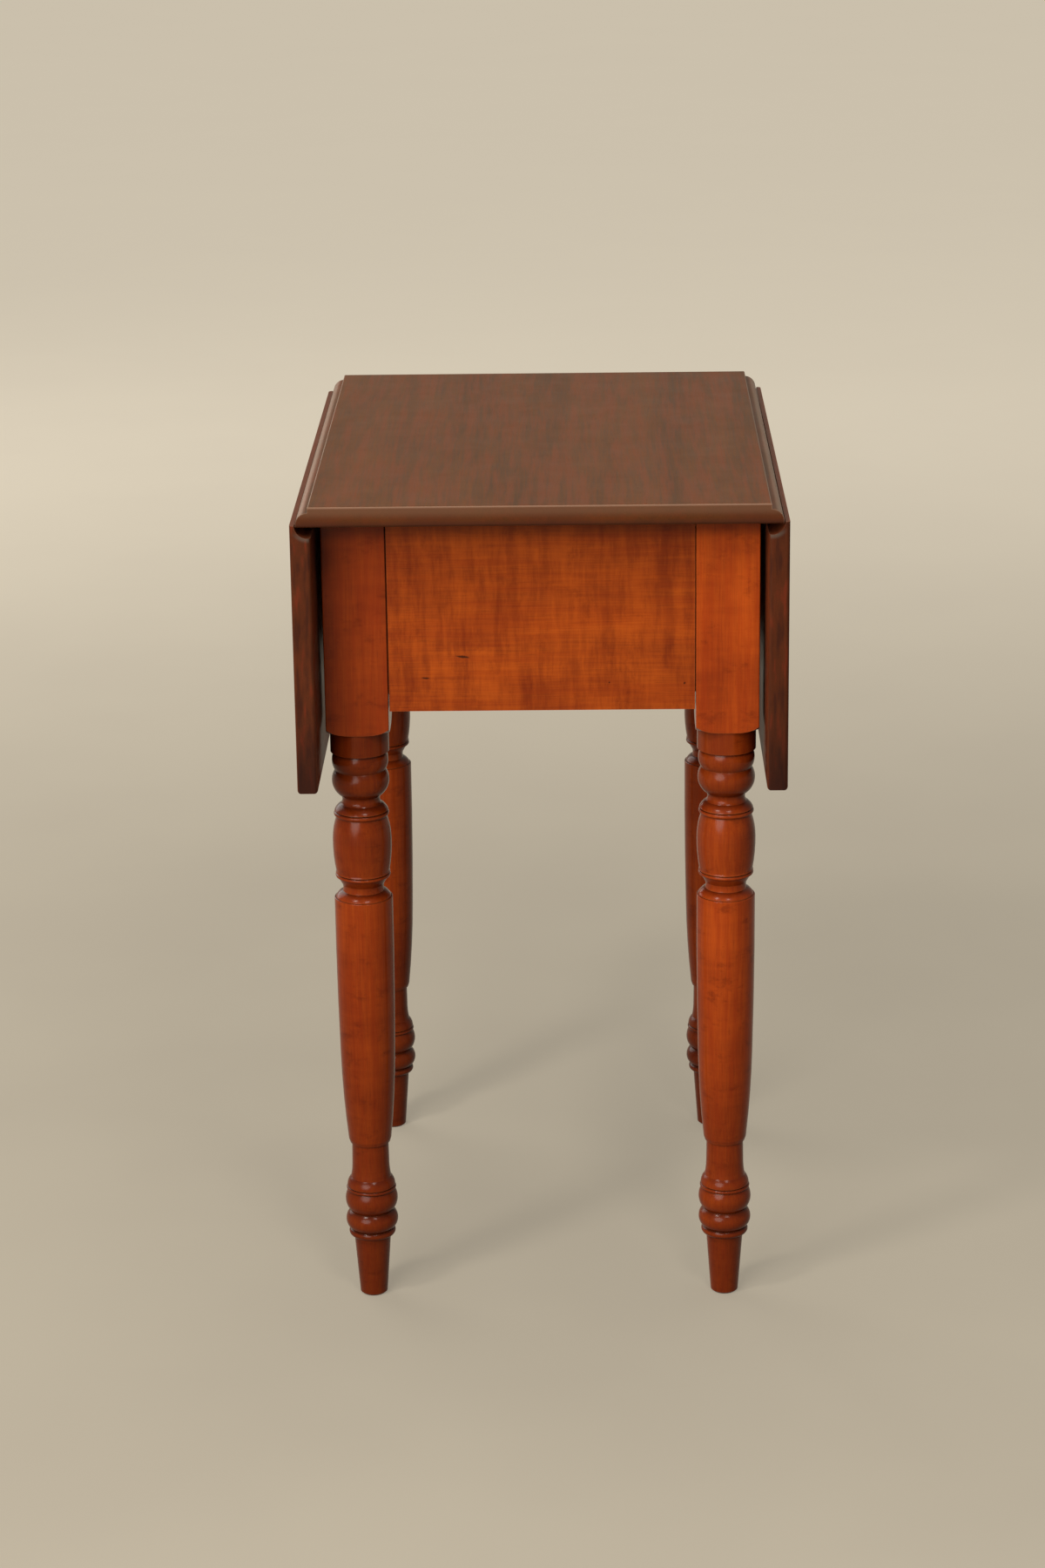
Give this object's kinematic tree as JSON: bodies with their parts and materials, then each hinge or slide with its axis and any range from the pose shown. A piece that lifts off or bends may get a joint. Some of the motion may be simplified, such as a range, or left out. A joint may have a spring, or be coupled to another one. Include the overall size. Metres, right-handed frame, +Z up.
{
  "type": "pembroke table",
  "caption": "Drop-leaf side table with rule-jointed hanging leaves, turned legs, a deep plain end apron, fly brackets and an end drawer.",
  "frame": {"origin": "on the floor, under the middle of the table", "axes": "+X to the right of someone who faces the plain apron end, +Y from that end to the drawer end, +Z up"},
  "size_m": [0.4026, 0.522, 0.724],
  "materials": {
    "mahogany": "dark brown satin varnish, straight grain along the length",
    "curly_maple": "orange-brown gloss varnish over curly figured wood",
    "secondary_wood": "unfinished, planed",
    "turned_knob": "orange-brown gloss varnish",
    "hinge_iron": "dark wrought iron",
    "screw_steel": "aged plain steel"
  },
  "bodies": {
    "frame": {"back_left_leg": "curly_maple", "back_right_leg": "curly_maple", "drawer_stops": "secondary_wood", "end_apron": "curly_maple", "fly_rail_screws": "screw_steel", "front_left_leg": "curly_maple", "front_right_leg": "curly_maple", "glue_blocks": "secondary_wood", "left_back_hinge_pin": "hinge_iron", "left_back_hinge_short_plate": "hinge_iron", "left_drawer_guide": "secondary_wood", "left_drawer_runner": "secondary_wood", "left_fly_end": "secondary_wood", "left_fly_pin": "screw_steel", "left_fly_rail": "secondary_wood", "left_front_hinge_pin": "hinge_iron", "left_front_hinge_short_plate": "hinge_iron", "left_kicker": "secondary_wood", "left_side_rail": "secondary_wood", "lower_drawer_rail": "curly_maple", "right_back_hinge_pin": "hinge_iron", "right_back_hinge_short_plate": "hinge_iron", "right_drawer_guide": "secondary_wood", "right_drawer_runner": "secondary_wood", "right_fly_end": "secondary_wood", "right_fly_pin": "screw_steel", "right_fly_rail": "secondary_wood", "right_front_hinge_pin": "hinge_iron", "right_front_hinge_short_plate": "hinge_iron", "right_kicker": "secondary_wood", "right_side_rail": "secondary_wood", "top_board": "mahogany", "top_hinge_screws": "screw_steel", "top_screws": "screw_steel", "upper_drawer_rail": "curly_maple"},
    "left_leaf": {"left_back_hinge_long_plate": "hinge_iron", "left_front_hinge_long_plate": "hinge_iron", "left_leaf": "mahogany", "left_leaf_screws": "screw_steel"},
    "right_leaf": {"right_back_hinge_long_plate": "hinge_iron", "right_front_hinge_long_plate": "hinge_iron", "right_leaf": "mahogany", "right_leaf_screws": "screw_steel"},
    "left_fly": {"left_fly_bracket": "secondary_wood"},
    "right_fly": {"right_fly_bracket": "secondary_wood"},
    "drawer": {"drawer_back": "secondary_wood", "drawer_bottom": "secondary_wood", "drawer_front": "curly_maple", "left_drawer_knob": "turned_knob", "left_drawer_side": "secondary_wood", "right_drawer_knob": "turned_knob", "right_drawer_side": "secondary_wood"}
  },
  "joints": [
    {"name": "right_leaf_hinge", "type": "hinge", "parent": "frame", "child": "right_leaf", "pos_m": [0.1865, 0, 0.7092], "axis": [0, -1, 0], "range_deg": [0, 90]},
    {"name": "left_leaf_hinge", "type": "hinge", "parent": "frame", "child": "left_leaf", "pos_m": [-0.1865, 0, 0.7092], "axis": [0, 1, 0], "range_deg": [0, 90]},
    {"name": "right_fly_swing", "type": "hinge", "parent": "frame", "child": "right_fly", "pos_m": [0.1598, 0.02, 0.6606], "axis": [0, 0, 1], "range_deg": [0, 4]},
    {"name": "left_fly_swing", "type": "hinge", "parent": "frame", "child": "left_fly", "pos_m": [-0.1598, -0.02, 0.6606], "axis": [0, 0, 1], "range_deg": [0, 4]},
    {"name": "drawer_slide", "type": "slide", "parent": "frame", "child": "drawer", "axis": [0, 1, 0], "range_m": [0, 0.27]}
  ]
}
